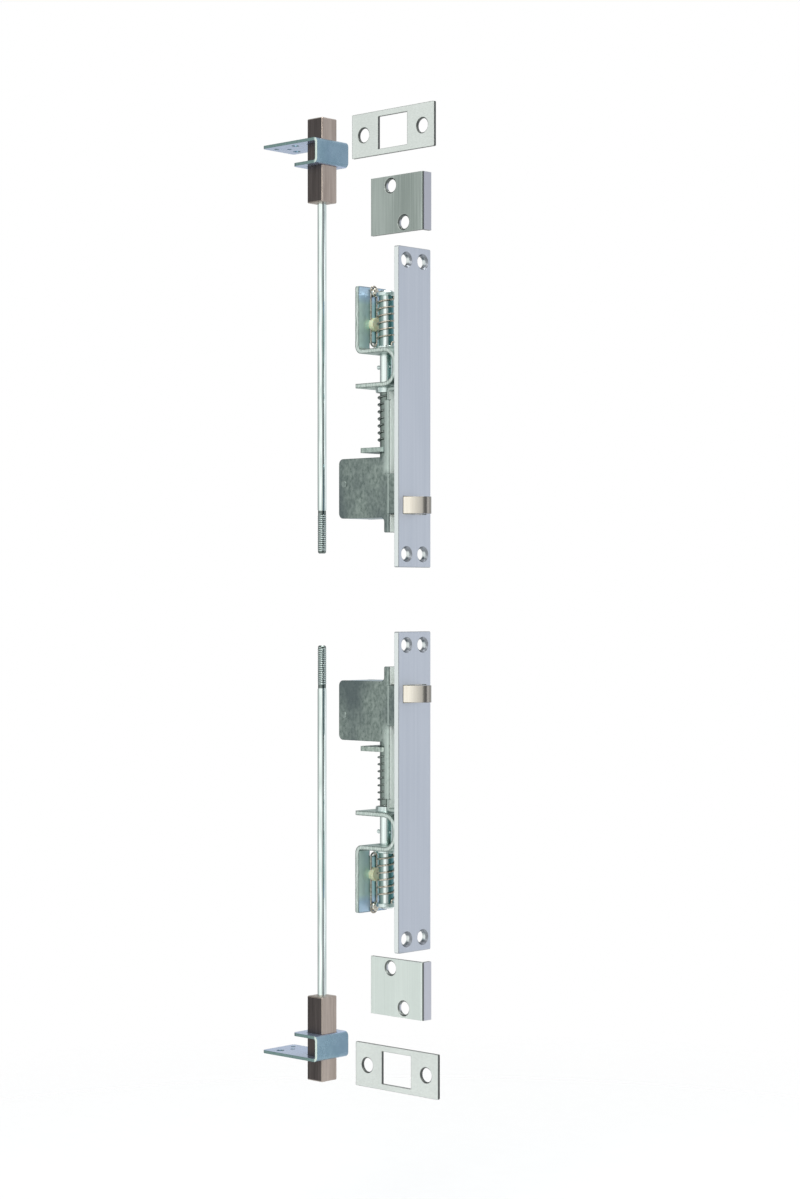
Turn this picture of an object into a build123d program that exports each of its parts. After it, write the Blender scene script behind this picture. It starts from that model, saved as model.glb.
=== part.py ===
from build123d import *

import math
import os

# Automatic flush bolt for a pair of metal doors: a top set and a bottom set, laid out as a kit.
# Sizes are in millimetres. X points out of the door's edge, Z points up, and the origin is the
# centre of the top face plate's front face. Every piece is drawn for the top set. The bottom set
# is the same set turned half round the X direction.

# Layout of the kit
MID_PLANE_DROP = 17.175
BOLT_AXIS_X = -70.0
GUIDE_TOP_Z = 151.4
BOLT_END_Z = 163.5

# Fits
RUNNING_CLEARANCE = 0.08
PRESS_CLEARANCE = 0.02
SLOT_CLEARANCE = 0.3
SEAT_GAP = 0.1

# How far a cut or a lap runs past the metal's face
OVERCUT = 1.0

# Face plate
PLATE_LENGTH = 171.45
PLATE_WIDTH = 25.4
PLATE_THICKNESS = 3.2
PLATE_CORNER_RADIUS = 0.8
PLATE_EDGE_BREAK = 0.3
PLATE_SCREW_END = 7.125
PLATE_SCREW_HOLE_RADIUS = 3.2
PLATE_SCREW_SINK_RADIUS = 4.3

# Trigger
TRIGGER_Z = -52.5
TRIGGER_TRAVEL = 10.5
TRIGGER_SIDE_GAP = 0.4
TRIGGER_HEIGHT = 9.0
TRIGGER_NOSE_RADIUS = 4.4
TRIGGER_BLOCK_BACK_X = -9.0
TRIGGER_CHEEK_WALL_GAP = 0.6
TRIGGER_CHEEK_SHAFT_GAP = 1.15
TRIGGER_CHEEK_BACK_X = -33.7
TRIGGER_STOP_GAP = 0.2
CAM_GAP = 0.1
CAM_POINT_COUNT = 7

# Lift shaft and what sits on it
SHAFT_X = -21.0
SHAFT_RADIUS = 3.45
SHAFT_TOP_Z = 44.0
SHAFT_END_BREAK = 0.6
LIFT = 19.0
LIFT_PLATE_TOP_Z = -20.9
LIFT_PLATE_THICKNESS = 2.6
LIFT_PLATE_BACK = 11.3
LIFT_PLATE_FRONT = 7.0
LIFT_PLATE_WIDTH = 19.0
LIFT_PLATE_CORNER_RADIUS = 2.0
CROSS_PIN_Z = 23.0
CROSS_PIN_RADIUS = 1.15
CROSS_PIN_REACH = 6.2
CROSS_PIN_FRONT_REACH = 3.9

# Lever
LEVER_PIVOT_X = -42.0
LEVER_PIVOT_Z = -40.2
LEVER_THICKNESS = 3.0
LEVER_HUB_RADIUS = 2.1
LEVER_TIP_RADIUS = 1.5
LEVER_NECK_RADIUS = 0.9
LEVER_NECK_DROP = 0.7
LEVER_SHAFT_GAP = 0.35
FOLLOWER_ARM = 10.9
FOLLOWER_RADIUS = 1.5
FOLLOWER_END_GAP = 0.8
FOLLOWER_BOSS_WALL = 1.1
LEVER_PIN_RADIUS = 1.2
LEVER_PIN_HEAD_RADIUS = 1.9
LEVER_PIN_HEAD_HEIGHT = 0.5

# Case body, one stamping
CASE_SHEET = 1.6
CASE_WIDTH = 22.0
CASE_BEND_RADIUS = 1.9
CASE_WEB_FRONT_X = -8.6
CASE_BACK_X = -46.0
CASE_TOP_Z = -26.5
CASE_CORNER_RADIUS = 3.0
CASE_THROAT_RADIUS = 2.5
CASE_FLANGE_DEPTH = 3.6
CASE_FOOT_Z = -67.0
CASE_HEAD_Z = 10.6
CASE_HEAD_BEND = 2.2
CASE_HEAD_LEG = 6.6
CASE_TAB_TOP_Z = -35.5
CASE_TAB_BOTTOM_RISE = 1.9
CASE_TAB_CORNER_RADIUS = 2.0

# Case cover, one bent strip
COVER_CORNER_RADIUS = 4.0

# Guide strap, one bent strip
STRAP_THICKNESS = 2.4
STRAP_WIDTH = 23.0
STRAP_LOWER_Z = 11.4
STRAP_UPPER_Z = 29.9
STRAP_FREE_X = -33.0
STRAP_REAR_X = -33.2
STRAP_TOP_Z = 66.8
STRAP_FRONT_BEND = 6.5
STRAP_REAR_BEND = 2.0
STRAP_END_RADIUS = 1.2
STRAP_RELIEF_WIDTH = 5.6
STRAP_RELIEF_RISE = 1.2
STRAP_RELIEF_HEIGHT = 3.3

# Springs, as wire radius, mean coil radius and turns
RETURN_WIRE_RADIUS = 0.5
RETURN_COIL_RADIUS = 4.3
RETURN_TURNS = 7.25
OVERRIDE_WIRE_RADIUS = 0.5
OVERRIDE_COIL_RADIUS = 4.8
OVERRIDE_TURNS = 6.0
SPRING_END_BEND = 1.0
SPRING_FIT_STEPS = 5
SPRING_SAMPLE_STEP = 0.25
SPRING_SAME_TURN = 4.0

# Spring cup
CUP_OUTER_RADIUS = 6.0
CUP_RIM_RADIUS = 5.6
CUP_WALL = 0.6
CUP_DEPTH = 2.4
CUP_FLOOR = 0.7

# Rod carrier with its washer and ring
CARRIER_RADIUS = 4.2
CARRIER_TOP_Z = 64.2
CARRIER_SOCKET_DEPTH = 15.0
WASHER_RADIUS = 5.7
WASHER_THICKNESS = 1.8
RING_RADIUS = 5.5
RING_THICKNESS = 2.2
RING_TOP_Z = 63.4

# Wire clip, nylon pad and clip stud
CLIP_WIRE_RADIUS = 0.5
CLIP_HALF_SPREAD = 2.3
CLIP_LOOP_Z = 37.2
CLIP_ARCH_Z = 65.1
PAD_Z = 46.5
PAD_RADIUS = 3.7
PAD_THICKNESS = 3.1
PAD_EDGE_RADIUS = 0.5
STUD_Z = 63.9
STUD_SHANK_RADIUS = 1.25
STUD_HEAD_RADIUS = 2.5
STUD_HEAD_HEIGHT = 1.7
STUD_HEAD_ROUND = 1.0

# Bolt rod and bolt head
ROD_RADIUS = 2.5
ROD_END_Z = -77.4
ROD_THREAD_LENGTH = 24.0
ROD_THREAD_DEPTH = 0.25
ROD_TENON = 8.0
BOLT_SQUARE = 11.8
BOLT_HEAD_LENGTH = 46.6
BOLT_EDGE_BREAK = 0.5

# Bolt guide, one bent strip
GUIDE_SHEET = 1.7
GUIDE_WIDTH = 24.5
GUIDE_HEIGHT = 14.2
GUIDE_FACE_REACH = 8.4
GUIDE_LONG_REACH = 34.8
GUIDE_SHORT_REACH = 11.2
GUIDE_BEND = 1.0
GUIDE_LONG_CORNER = 1.5
GUIDE_SHORT_CORNER = 3.0
GUIDE_SCREW_REACH = 20.5
GUIDE_SCREW_SPREAD_X = 12.0
GUIDE_SCREW_SPREAD_Y = 13.0
GUIDE_SCREW_HOLE_RADIUS = 2.1
GUIDE_SCREW_SINK_RADIUS = 3.0
GUIDE_PILOT_RADIUS = 1.3
GUIDE_PILOTS = [(24.5, -1.3), (29.5, -6.5)]

# Strike plate
STRIKE_LENGTH = 60.3
STRIKE_WIDTH = 23.8
STRIKE_THICKNESS = 1.5
STRIKE_CORNER_RADIUS = 0.6
STRIKE_OPENING_LENGTH = 21.4
STRIKE_OPENING_WIDTH = 17.6
STRIKE_SCREW_END = 8.65
STRIKE_SCREW_HOLE_RADIUS = 3.8
STRIKE_SCREW_SINK_RADIUS = 4.3
STRIKE_FACE_Y = -6.4
STRIKE_TOP_X = -10.4
STRIKE_TOP_GAP = 12.3
STRIKE_BOTTOM_X = -7.6
STRIKE_BOTTOM_GAP = 16.5

# Rub plate
RUB_LENGTH = 38.1
RUB_HEIGHT = 31.0
RUB_LIP = 6.6
RUB_THICKNESS = 2.0
RUB_BEND = 0.6
RUB_HOLE_RADIUS = 3.5
RUB_SINK_RADIUS = 4.3
RUB_SCREW_SPREAD_X = 9.6
RUB_SCREW_SPREAD_Z = 20.6
RUB_SCREW_BACK = 19.0
RUB_FACE_Y = -6.0
RUB_FRONT_X = 11.4
RUB_TOP_GAP = 8.075
RUB_BOTTOM_GAP = 4.275

# Worked out from the sizes above
MID_PLANE_Z = -(PLATE_LENGTH / 2 + MID_PLANE_DROP)
PLATE_SCREW_PITCH_LONG = PLATE_LENGTH - 2 * PLATE_SCREW_END
PLATE_SCREW_PITCH_ACROSS = PLATE_WIDTH / 2
CASE_WALL_INNER_Y = CASE_WIDTH / 2 - CASE_SHEET
TRIGGER_WIDTH = 2 * (CASE_WALL_INNER_Y - TRIGGER_SIDE_GAP)
TRIGGER_CHEEK_OUTER_Y = CASE_WALL_INNER_Y - TRIGGER_CHEEK_WALL_GAP
TRIGGER_CHEEK_INNER_Y = SHAFT_RADIUS + TRIGGER_CHEEK_SHAFT_GAP
FOLLOWER_HALF_LENGTH = CASE_WALL_INNER_Y - FOLLOWER_END_GAP
SHAFT_BORE_RADIUS = SHAFT_RADIUS + RUNNING_CLEARANCE
PLATE_BACK_X = -PLATE_THICKNESS
SLOT_HALF_WIDTH = TRIGGER_WIDTH / 2 + SLOT_CLEARANCE
SLOT_BOTTOM_Z = TRIGGER_Z - TRIGGER_HEIGHT / 2 - SLOT_CLEARANCE
SLOT_TOP_Z = TRIGGER_Z + TRIGGER_HEIGHT / 2 + SLOT_CLEARANCE
CASE_WEB_BACK_X = CASE_WEB_FRONT_X - CASE_SHEET
CASE_BOTTOM_Z = SLOT_BOTTOM_Z - CASE_SHEET
LEVER_ARM = SHAFT_X - LEVER_PIVOT_X
LEVER_HALF_SWING = math.asin(LIFT / 2 / LEVER_ARM)
LEVER_RATE = 2 * LEVER_HALF_SWING / TRIGGER_TRAVEL
LEVER_TIP_Z = LEVER_PIVOT_Z - LEVER_ARM * math.sin(LEVER_HALF_SWING)
SHAFT_FOOT_Z = LEVER_TIP_Z + LEVER_TIP_RADIUS + LEVER_SHAFT_GAP
STRAP_LOWER_TOP_Z = STRAP_LOWER_Z + STRAP_THICKNESS
STRAP_UPPER_TOP_Z = STRAP_UPPER_Z + STRAP_THICKNESS
STRAP_REAR_FACE_X = STRAP_REAR_X + STRAP_THICKNESS
CUP_SEAT_Z = STRAP_LOWER_Z - CUP_FLOOR
WASHER_BOTTOM_Z = STRAP_UPPER_TOP_Z + SEAT_GAP
WASHER_TOP_Z = WASHER_BOTTOM_Z + WASHER_THICKNESS
RING_BOTTOM_Z = RING_TOP_Z - RING_THICKNESS
BOLT_HEAD_Z = BOLT_END_Z - BOLT_HEAD_LENGTH
STRIKE_SCREW_PITCH = STRIKE_LENGTH - 2 * STRIKE_SCREW_END
RUB_TOP_Z = PLATE_LENGTH / 2 + RUB_TOP_GAP + RUB_HEIGHT / 2
RUB_BOTTOM_Z = 2 * MID_PLANE_Z - PLATE_LENGTH / 2 - RUB_BOTTOM_GAP - RUB_HEIGHT / 2
STRIKE_TOP_Z = RUB_TOP_Z + RUB_HEIGHT / 2 + STRIKE_TOP_GAP + STRIKE_WIDTH / 2
STRIKE_BOTTOM_Z = RUB_BOTTOM_Z - RUB_HEIGHT / 2 - STRIKE_BOTTOM_GAP - STRIKE_WIDTH / 2


def block(x_range, y_range, z_range):
    """Box between two corners, each axis given as (low, high)."""
    sizes = [high - low for low, high in (x_range, y_range, z_range)]
    centre = [(high + low) / 2 for low, high in (x_range, y_range, z_range)]
    return Pos(*centre) * Box(*sizes)


def disc_x(y, z, radius, x_low, x_high):
    """Round bar along X."""
    return Pos((x_low + x_high) / 2, y, z) * Rot(0, 90, 0) * Cylinder(radius, x_high - x_low)


def disc_y(x, z, radius, y_low, y_high):
    """Round bar along Y."""
    return Pos(x, (y_low + y_high) / 2, z) * Rot(90, 0, 0) * Cylinder(radius, y_high - y_low)


def disc_z(x, y, radius, z_low, z_high):
    """Round bar along Z."""
    return Pos(x, y, (z_low + z_high) / 2) * Cylinder(radius, z_high - z_low)


def sink(direction, front, hole_radius, sink_radius, depth):
    """Countersunk screw hole that enters at the point front and runs along direction."""
    cone_depth = sink_radius - hole_radius
    profile = Polyline(
        (0, -OVERCUT), (sink_radius, -OVERCUT), (sink_radius, 0), (hole_radius, cone_depth),
        (hole_radius, depth + OVERCUT), (0, depth + OVERCUT), close=True,
    )
    tool = revolve(Plane.XZ * make_face(profile), Axis.Z)
    return Plane(front, z_dir=direction) * tool


def side_solid(outline, width):
    """Solid of an outline in the XZ plane, centred on y = 0."""
    return extrude(Plane.XZ * make_face(outline), amount=width / 2, both=True)


def bent_strip(middle, radii, thickness, width):
    """Strip bent square along a middle line of (x, z) points, centred on y = 0."""
    half = thickness / 2
    steps = [(Vector(*b) - Vector(*a)).normalized() for a, b in zip(middle, middle[1:])]
    lefts = [Vector(-step.Y, step.X) for step in steps]
    sides = {1: [], -1: []}
    side_radii = {1: [], -1: []}
    for index, point in enumerate(middle):
        before = lefts[max(index - 1, 0)]
        after = lefts[min(index, len(lefts) - 1)]
        is_corner = 0 < index < len(middle) - 1
        shift = before + after if is_corner else after
        turn = steps[index - 1].cross(steps[index]).Z if is_corner else 0
        for side in (1, -1):
            sides[side].append(Vector(*point) + shift * (half * side))
            side_radii[side].append(radii[index - 1] - half * side * turn if is_corner else 0)
    points = sides[1] + sides[-1][::-1]
    corner_radii = side_radii[1] + side_radii[-1][::-1]
    outline = FilletPolyline(*[(p.X, p.Y) for p in points], radius=corner_radii, close=True)
    return side_solid(outline, width)


def rounded_plan(x_range, y_range, radius):
    """Rectangle in plan with rounded corners."""
    centre = ((x_range[0] + x_range[1]) / 2, (y_range[0] + y_range[1]) / 2)
    size = (x_range[1] - x_range[0], y_range[1] - y_range[0])
    return Pos(*centre) * RectangleRounded(*size, radius)


def hull_xz(circles):
    """Face in the XZ plane: the hull round circles given as (x, z, radius)."""
    edges = [(Pos(x, z) * Circle(radius)).edge() for x, z, radius in circles]
    return Plane.XZ * make_hull(edges)


def face_plate():
    """Long front plate with four countersunk screw holes and the trigger's slot."""
    half_width = PLATE_WIDTH / 2
    half_length = PLATE_LENGTH / 2
    plate = block((PLATE_BACK_X, 0), (-half_width, half_width), (-half_length, half_length))
    plate = fillet(plate.edges().filter_by(Axis.X), PLATE_CORNER_RADIUS)
    plate = chamfer(plate.faces().sort_by(Axis.X)[-1].edges(), PLATE_EDGE_BREAK)
    for y_side in (-1, 1):
        for z_side in (-1, 1):
            front = (0, y_side * PLATE_SCREW_PITCH_ACROSS / 2, z_side * PLATE_SCREW_PITCH_LONG / 2)
            plate -= sink(
                (-1, 0, 0), front, PLATE_SCREW_HOLE_RADIUS, PLATE_SCREW_SINK_RADIUS, PLATE_THICKNESS
            )
    slot = block(
        (PLATE_BACK_X - OVERCUT, OVERCUT), (-SLOT_HALF_WIDTH, SLOT_HALF_WIDTH), (SLOT_BOTTOM_Z, SLOT_TOP_Z)
    )
    return plate - slot


def cam_points():
    """Points of the trigger's cam, found from the follower's path as the trigger is pushed in."""
    points = []
    offset = FOLLOWER_RADIUS + CAM_GAP
    for index in range(CAM_POINT_COUNT):
        push = TRIGGER_TRAVEL * index / (CAM_POINT_COUNT - 1)
        angle = -LEVER_HALF_SWING + LEVER_RATE * push
        x = LEVER_PIVOT_X + FOLLOWER_ARM * math.cos(angle) + push
        z = LEVER_PIVOT_Z + FOLLOWER_ARM * math.sin(angle)
        slope_x = 1 - FOLLOWER_ARM * math.sin(angle) * LEVER_RATE
        slope_z = FOLLOWER_ARM * math.cos(angle) * LEVER_RATE
        length = math.hypot(slope_x, slope_z)
        points.append((x + offset * slope_z / length, z - offset * slope_x / length))
    return points


def trigger():
    """Wedge nose with a block that slides in the slot and two cheeks that carry the cam ramps."""
    half_width = TRIGGER_WIDTH / 2
    bottom_z = TRIGGER_Z - TRIGGER_HEIGHT / 2
    top_z = TRIGGER_Z + TRIGGER_HEIGHT / 2
    nose_edges = [(Pos(TRIGGER_TRAVEL - TRIGGER_NOSE_RADIUS, 0) * Circle(TRIGGER_NOSE_RADIUS)).edge()]
    nose_edges += Polyline(
        (TRIGGER_BLOCK_BACK_X, -half_width), (0, -half_width), (0, half_width),
        (TRIGGER_BLOCK_BACK_X, half_width), close=True,
    ).edges()
    body = Pos(0, 0, bottom_z) * extrude(make_hull(nose_edges), amount=TRIGGER_HEIGHT)

    cam = cam_points()
    (x0, z0), (x1, z1) = cam[:2]
    rear_z = z0 + (TRIGGER_CHEEK_BACK_X - x0) * (z1 - z0) / (x1 - x0)
    stop_x = CASE_WEB_BACK_X - TRIGGER_STOP_GAP
    front_x = TRIGGER_BLOCK_BACK_X + OVERCUT
    cheek_line = Spline(*cam).edges()
    cheek_line += Polyline(
        cam[-1], (stop_x, cam[-1][1]), (stop_x, top_z), (front_x, top_z), (front_x, bottom_z),
        (TRIGGER_CHEEK_BACK_X, bottom_z), (TRIGGER_CHEEK_BACK_X, rear_z), cam[0],
    ).edges()
    cheek = side_solid(cheek_line, 2 * TRIGGER_CHEEK_OUTER_Y)
    rear_corner = cheek.edges().filter_by(Axis.Y).group_by(Axis.X)[0].sort_by(Axis.Z)[0]
    cheek = fillet(rear_corner, COVER_CORNER_RADIUS - CASE_SHEET + SLOT_CLEARANCE)
    gap = block(
        (TRIGGER_CHEEK_BACK_X - OVERCUT, TRIGGER_BLOCK_BACK_X),
        (-TRIGGER_CHEEK_INNER_Y, TRIGGER_CHEEK_INNER_Y),
        (bottom_z - OVERCUT, cam[-1][1] + OVERCUT),
    )
    return body + (cheek - gap)


def lever_point(radius, drop=0.0):
    """Point of the lever at rest, at a distance from the pivot and square below its centre line."""
    x = LEVER_PIVOT_X + radius * math.cos(LEVER_HALF_SWING) - drop * math.sin(LEVER_HALF_SWING)
    z = LEVER_PIVOT_Z - radius * math.sin(LEVER_HALF_SWING) - drop * math.cos(LEVER_HALF_SWING)
    return x, z


def lever():
    """Flat lever from its hub to the raised round tip under the shaft, with a boss for the follower."""
    boss_radius = FOLLOWER_RADIUS + FOLLOWER_BOSS_WALL
    follower = lever_point(FOLLOWER_ARM)
    tip = lever_point(LEVER_ARM)
    neck = lever_point(LEVER_ARM, LEVER_NECK_DROP)
    hub_to_boss = hull_xz([(LEVER_PIVOT_X, LEVER_PIVOT_Z, LEVER_HUB_RADIUS), (*follower, boss_radius)])
    boss_to_neck = hull_xz([(*follower, boss_radius), (*neck, LEVER_NECK_RADIUS)])
    half = LEVER_THICKNESS / 2
    plate = extrude(hub_to_boss, amount=half, both=True)
    plate += extrude(boss_to_neck, amount=half, both=True)
    plate += disc_y(*tip, LEVER_TIP_RADIUS, -half, half)
    bore_radius = LEVER_PIN_RADIUS + RUNNING_CLEARANCE
    plate -= disc_y(LEVER_PIVOT_X, LEVER_PIVOT_Z, bore_radius, -LEVER_THICKNESS, LEVER_THICKNESS)
    plate -= disc_y(*follower, FOLLOWER_RADIUS + PRESS_CLEARANCE, -LEVER_THICKNESS, LEVER_THICKNESS)
    return plate


def lever_follower():
    """Cross pin of the lever that rides on both cam ramps."""
    return disc_y(*lever_point(FOLLOWER_ARM), FOLLOWER_RADIUS, -FOLLOWER_HALF_LENGTH, FOLLOWER_HALF_LENGTH)


def lever_pin():
    """Pivot pin through both case walls, riveted over outside."""
    half = CASE_WIDTH / 2
    pin = disc_y(LEVER_PIVOT_X, LEVER_PIVOT_Z, LEVER_PIN_RADIUS, -half, half)
    for side in (-1, 1):
        ends = sorted((side * half, side * (half + LEVER_PIN_HEAD_HEIGHT)))
        head = disc_y(LEVER_PIVOT_X, LEVER_PIVOT_Z, LEVER_PIN_HEAD_RADIUS, *ends)
        rim = head.faces().sort_by(Axis.Y)[0 if side < 0 else -1].edges()
        pin += chamfer(rim, LEVER_PIN_HEAD_HEIGHT / 2)
    return pin


def case_body():
    """Stamping: web behind the plate, side walls with shallow flanges above and below, foot and tabs."""
    half = CASE_WIDTH / 2
    flange_x = CASE_WEB_FRONT_X - CASE_FLANGE_DEPTH
    rear_x = CASE_BACK_X - OVERCUT
    channel_plan = make_face(
        FilletPolyline(
            (rear_x, -half), (CASE_WEB_FRONT_X, -half), (CASE_WEB_FRONT_X, half), (rear_x, half),
            (rear_x, half - CASE_SHEET), (CASE_WEB_BACK_X, half - CASE_SHEET),
            (CASE_WEB_BACK_X, CASE_SHEET - half), (rear_x, CASE_SHEET - half),
            radius=[
                0, CASE_BEND_RADIUS, CASE_BEND_RADIUS, 0,
                0, CASE_BEND_RADIUS - CASE_SHEET, CASE_BEND_RADIUS - CASE_SHEET, 0,
            ],
            close=True,
        )
    )
    channel = Pos(0, 0, CASE_FOOT_Z) * extrude(channel_plan, amount=CASE_HEAD_Z - CASE_FOOT_Z)
    front_x = CASE_WEB_FRONT_X + OVERCUT
    side_outline = FilletPolyline(
        (front_x, CASE_FOOT_Z), (flange_x, CASE_FOOT_Z), (flange_x, CASE_BOTTOM_Z),
        (CASE_BACK_X, CASE_BOTTOM_Z), (CASE_BACK_X, CASE_TOP_Z), (flange_x, CASE_TOP_Z),
        (flange_x, CASE_HEAD_Z), (front_x, CASE_HEAD_Z),
        radius=[
            0, CASE_SHEET / 2, CASE_THROAT_RADIUS, CASE_CORNER_RADIUS, CASE_CORNER_RADIUS,
            CASE_THROAT_RADIUS, CASE_SHEET / 2, 0,
        ],
        close=True,
    )
    body = channel & side_solid(side_outline, CASE_WIDTH + 2 * OVERCUT)

    tab_bottom_z = CASE_BOTTOM_Z + CASE_TAB_BOTTOM_RISE
    tab_outline = FilletPolyline(
        (CASE_WEB_BACK_X - OVERCUT, tab_bottom_z), (PLATE_BACK_X, tab_bottom_z),
        (PLATE_BACK_X, CASE_TAB_TOP_Z), (CASE_WEB_BACK_X - OVERCUT, CASE_TAB_TOP_Z),
        radius=[0, CASE_TAB_CORNER_RADIUS, CASE_TAB_CORNER_RADIUS, 0],
        close=True,
    )
    tab = side_solid(tab_outline, CASE_WIDTH)
    tab -= block(
        (CASE_BACK_X, OVERCUT),
        (-CASE_WALL_INNER_Y, CASE_WALL_INNER_Y),
        (tab_bottom_z - OVERCUT, CASE_TAB_TOP_Z + OVERCUT),
    )
    head_low_z = CASE_HEAD_Z - CASE_HEAD_LEG
    head = bent_strip(
        [
            (CASE_WEB_FRONT_X - CASE_SHEET / 2, head_low_z),
            (CASE_WEB_FRONT_X - CASE_SHEET / 2, CASE_HEAD_Z - CASE_SHEET / 2),
            (PLATE_BACK_X, CASE_HEAD_Z - CASE_SHEET / 2),
        ],
        [CASE_HEAD_BEND - CASE_SHEET / 2],
        CASE_SHEET,
        CASE_WIDTH,
    )
    head_space = block(
        (flange_x - OVERCUT, front_x), (-half - OVERCUT, half + OVERCUT), (head_low_z, CASE_HEAD_Z + OVERCUT)
    )
    body = (body - head_space) + tab + head
    slot = block(
        (CASE_WEB_BACK_X, front_x), (-CASE_WALL_INNER_Y, CASE_WALL_INNER_Y), (SLOT_BOTTOM_Z, SLOT_TOP_Z)
    )
    pin_hole_radius = LEVER_PIN_RADIUS + PRESS_CLEARANCE
    pin_hole = disc_y(LEVER_PIVOT_X, LEVER_PIVOT_Z, pin_hole_radius, -half - OVERCUT, half + OVERCUT)
    return body - slot - pin_hole


def case_cover():
    """Strip wrapped over the top, back and bottom between the case walls, with the shaft's hole."""
    half = CASE_SHEET / 2
    front_x = CASE_WEB_BACK_X - (CASE_BEND_RADIUS - CASE_SHEET)
    middle = [
        (front_x, CASE_BOTTOM_Z + half),
        (CASE_BACK_X + half, CASE_BOTTOM_Z + half),
        (CASE_BACK_X + half, CASE_TOP_Z - half),
        (front_x, CASE_TOP_Z - half),
    ]
    bend = COVER_CORNER_RADIUS - half
    cover = bent_strip(middle, [bend, bend], CASE_SHEET, 2 * CASE_WALL_INNER_Y)
    shaft_hole = disc_z(
        SHAFT_X, 0, SHAFT_RADIUS + SLOT_CLEARANCE, CASE_TOP_Z - CASE_SHEET - OVERCUT, CASE_TOP_Z + OVERCUT
    )
    return cover - shaft_hole


def guide_strap():
    """One thick strip: lower leg, U-bend against the plate, upper leg and rear leg."""
    half = STRAP_THICKNESS / 2
    middle = [
        (STRAP_FREE_X, STRAP_LOWER_Z + half),
        (PLATE_BACK_X - half, STRAP_LOWER_Z + half),
        (PLATE_BACK_X - half, STRAP_UPPER_Z + half),
        (STRAP_REAR_X + half, STRAP_UPPER_Z + half),
        (STRAP_REAR_X + half, STRAP_TOP_Z),
    ]
    radii = [STRAP_FRONT_BEND + half, STRAP_FRONT_BEND + half, STRAP_REAR_BEND + half]
    strap = bent_strip(middle, radii, STRAP_THICKNESS, STRAP_WIDTH)
    free_end = strap.edges().filter_by(Axis.Z).group_by(Axis.X)[0]
    top_end = strap.edges().filter_by(Axis.X).group_by(Axis.Z)[-1]
    lower_end = [edge for edge in free_end if edge.center().Z < STRAP_LOWER_TOP_Z]
    strap = fillet(list(lower_end) + list(top_end), STRAP_END_RADIUS)
    through_x = (STRAP_REAR_X - OVERCUT, STRAP_REAR_FACE_X + OVERCUT)
    strap -= disc_z(SHAFT_X, 0, SHAFT_BORE_RADIUS, STRAP_LOWER_Z - OVERCUT, STRAP_UPPER_TOP_Z + OVERCUT)
    pin_slot_half = CROSS_PIN_RADIUS + SLOT_CLEARANCE
    strap -= block(
        (SHAFT_X - CROSS_PIN_REACH - SLOT_CLEARANCE, SHAFT_X + CROSS_PIN_FRONT_REACH + SLOT_CLEARANCE),
        (-pin_slot_half, pin_slot_half),
        (STRAP_UPPER_Z - OVERCUT, STRAP_UPPER_TOP_Z + OVERCUT),
    )
    relief_z = STRAP_UPPER_TOP_Z + STRAP_RELIEF_RISE
    strap -= block(
        through_x,
        (-STRAP_RELIEF_WIDTH / 2, STRAP_RELIEF_WIDTH / 2),
        (relief_z, relief_z + STRAP_RELIEF_HEIGHT),
    )
    return strap - disc_x(0, STUD_Z, STUD_SHANK_RADIUS + PRESS_CLEARANCE, *through_x)


def lift_shaft():
    """Round bar from the lever's tip up through the strap into the carrier."""
    shaft = disc_z(SHAFT_X, 0, SHAFT_RADIUS, SHAFT_FOOT_Z, SHAFT_TOP_Z)
    shaft = chamfer(shaft.edges().filter_by(GeomType.CIRCLE), SHAFT_END_BREAK)
    hole_ends = (SHAFT_X - CROSS_PIN_REACH, SHAFT_X + CROSS_PIN_REACH)
    return shaft - disc_x(0, CROSS_PIN_Z, CROSS_PIN_RADIUS + PRESS_CLEARANCE, *hole_ends)


def cross_pin():
    """Pin through the shaft between the strap's legs."""
    ends = (SHAFT_X - CROSS_PIN_REACH, SHAFT_X + CROSS_PIN_FRONT_REACH)
    pin = disc_x(0, CROSS_PIN_Z, CROSS_PIN_RADIUS, *ends)
    return chamfer(pin.edges().filter_by(GeomType.CIRCLE), SHAFT_END_BREAK / 2)


def lift_plate():
    """Cross plate on the shaft, the return spring's lower seat."""
    half_width = LIFT_PLATE_WIDTH / 2
    plan = rounded_plan(
        (SHAFT_X - LIFT_PLATE_BACK, SHAFT_X + LIFT_PLATE_FRONT), (-half_width, half_width),
        LIFT_PLATE_CORNER_RADIUS,
    )
    bottom_z = LIFT_PLATE_TOP_Z - LIFT_PLATE_THICKNESS
    plate = Pos(0, 0, bottom_z) * extrude(plan, amount=LIFT_PLATE_THICKNESS)
    return plate - disc_z(
        SHAFT_X, 0, SHAFT_RADIUS + PRESS_CLEARANCE, bottom_z - OVERCUT, LIFT_PLATE_TOP_Z + OVERCUT
    )


def spring_cup():
    """Shallow tapered cup under the lower leg that holds the return spring's top."""
    profile = Polyline(
        (SHAFT_BORE_RADIUS, STRAP_LOWER_Z), (CUP_OUTER_RADIUS, STRAP_LOWER_Z),
        (CUP_RIM_RADIUS, STRAP_LOWER_Z - CUP_DEPTH), (CUP_RIM_RADIUS - CUP_WALL, STRAP_LOWER_Z - CUP_DEPTH),
        (CUP_OUTER_RADIUS - CUP_WALL, CUP_SEAT_Z), (SHAFT_BORE_RADIUS, CUP_SEAT_Z),
        close=True,
    )
    return Pos(SHAFT_X, 0, 0) * revolve(Plane.XZ * make_face(profile), Axis.Z)


def biarc(start, start_tangent, end, end_tangent):
    """Two arcs that join two points with the tangents given there."""
    span = end - start
    both = start_tangent + end_tangent
    share = 2 * (1 - start_tangent.dot(end_tangent))
    reach = (math.sqrt(span.dot(both) ** 2 + share * span.dot(span)) - span.dot(both)) / share
    joint = (start + start_tangent * reach + end - end_tangent * reach) * 0.5
    joint_tangent = (end - end_tangent * reach - start - start_tangent * reach).normalized()
    return [
        Edge.make_tangent_arc(start, start_tangent, joint),
        Edge.make_tangent_arc(joint, joint_tangent, end),
    ]


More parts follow.
